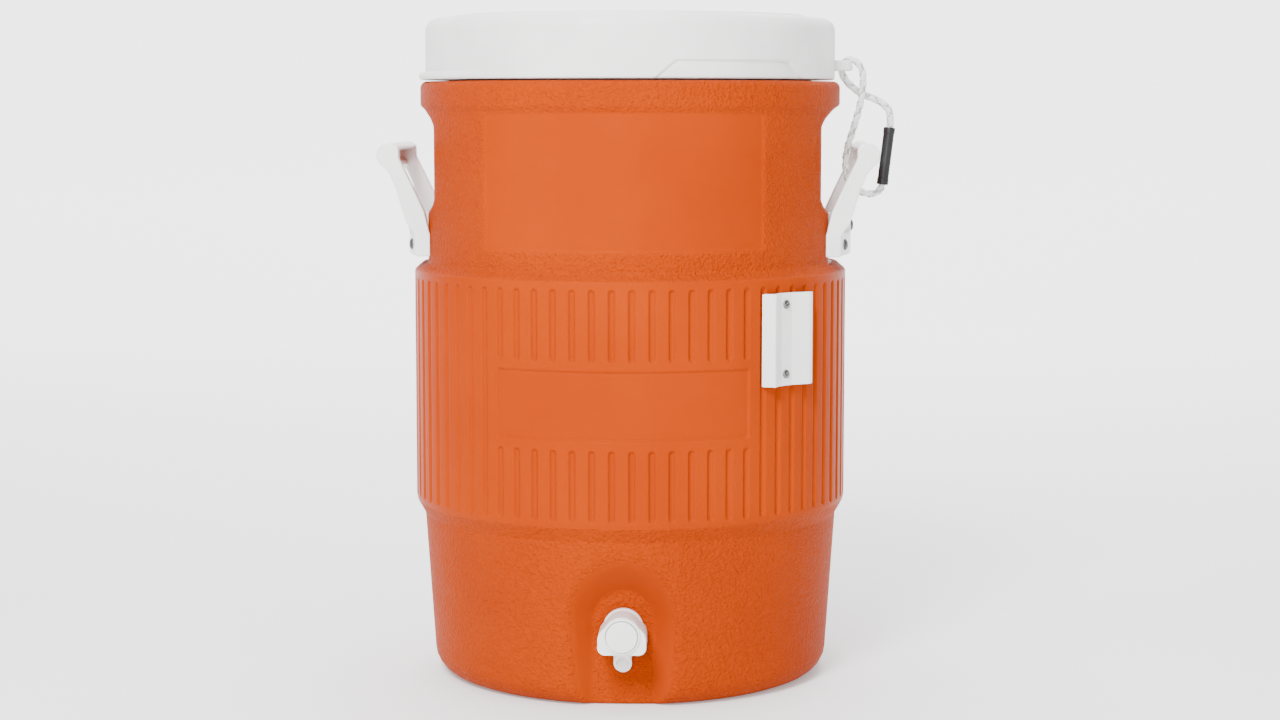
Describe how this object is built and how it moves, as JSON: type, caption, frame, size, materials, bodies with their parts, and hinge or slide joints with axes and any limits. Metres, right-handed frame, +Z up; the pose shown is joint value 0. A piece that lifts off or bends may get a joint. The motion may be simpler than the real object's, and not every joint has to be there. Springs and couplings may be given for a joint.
{
  "type": "insulated beverage dispenser",
  "caption": "Round insulated drink cooler with a lift-off lid, two side handles, a push-button spigot at the front foot, a cup dispenser bracket and a rope tether.",
  "frame": {"origin": "centre of the base, on the surface that it stands on", "axes": "+Z up, -Y towards the spigot and the front, +X towards the handle that carries the tether"},
  "size_m": [0.3875, 0.3355, 0.4983],
  "materials": {
    "orange_body": "moulded polyethylene, satin, pebbled away from the belt and panels",
    "foam": "rigid polyurethane foam",
    "white_liner": "smooth moulded polyethylene",
    "white_plastic": "satin moulded polypropylene",
    "white_lid": "moulded polyethylene with a fine grain",
    "white_spigot": "smooth moulded polypropylene",
    "dark_steel": "plated screw, dulled",
    "bright_steel": "bright stainless",
    "gasket_rubber": "soft grey rubber",
    "black_rubber": "smooth black rubber tube",
    "rope": "braided white rope with a grey tracer"
  },
  "bodies": {
    "cooler": {"outer_shell": "orange_body", "foam_insulation": "foam", "tank_liner": "white_liner", "left_handle": "white_plastic", "right_handle": "white_plastic", "left_handle_screws": "dark_steel", "right_handle_screws": "dark_steel", "cup_bracket": "white_plastic", "cup_bracket_screws": "bright_steel", "spigot_body": "white_spigot", "spigot_bonnet": "white_spigot", "button_spring": "bright_steel", "outer_washer": "gasket_rubber", "inner_washer": "gasket_rubber", "spigot_nut": "white_spigot", "tether_rope": "rope", "tether_sleeve": "black_rubber"},
    "lid": {"lid_shell": "white_lid", "lid_foam": "foam", "lid_inner_pan": "white_liner", "lid_gasket": "gasket_rubber"},
    "button": {"push_button": "white_spigot", "valve_stem": "white_spigot", "valve_seal": "black_rubber"}
  },
  "joints": [
    {"name": "lid_lift", "type": "slide", "parent": "cooler", "child": "lid", "axis": [0, 0, 1], "range_m": [0, 0.045], "deforming": ["tether_rope"]},
    {"name": "button_push", "type": "slide", "parent": "cooler", "child": "button", "axis": [0, 1, 0], "range_m": [0, 0.005], "stiffness_N_per_m": 1500, "springref_m": -0.003, "deforming": ["button_spring"]}
  ]
}
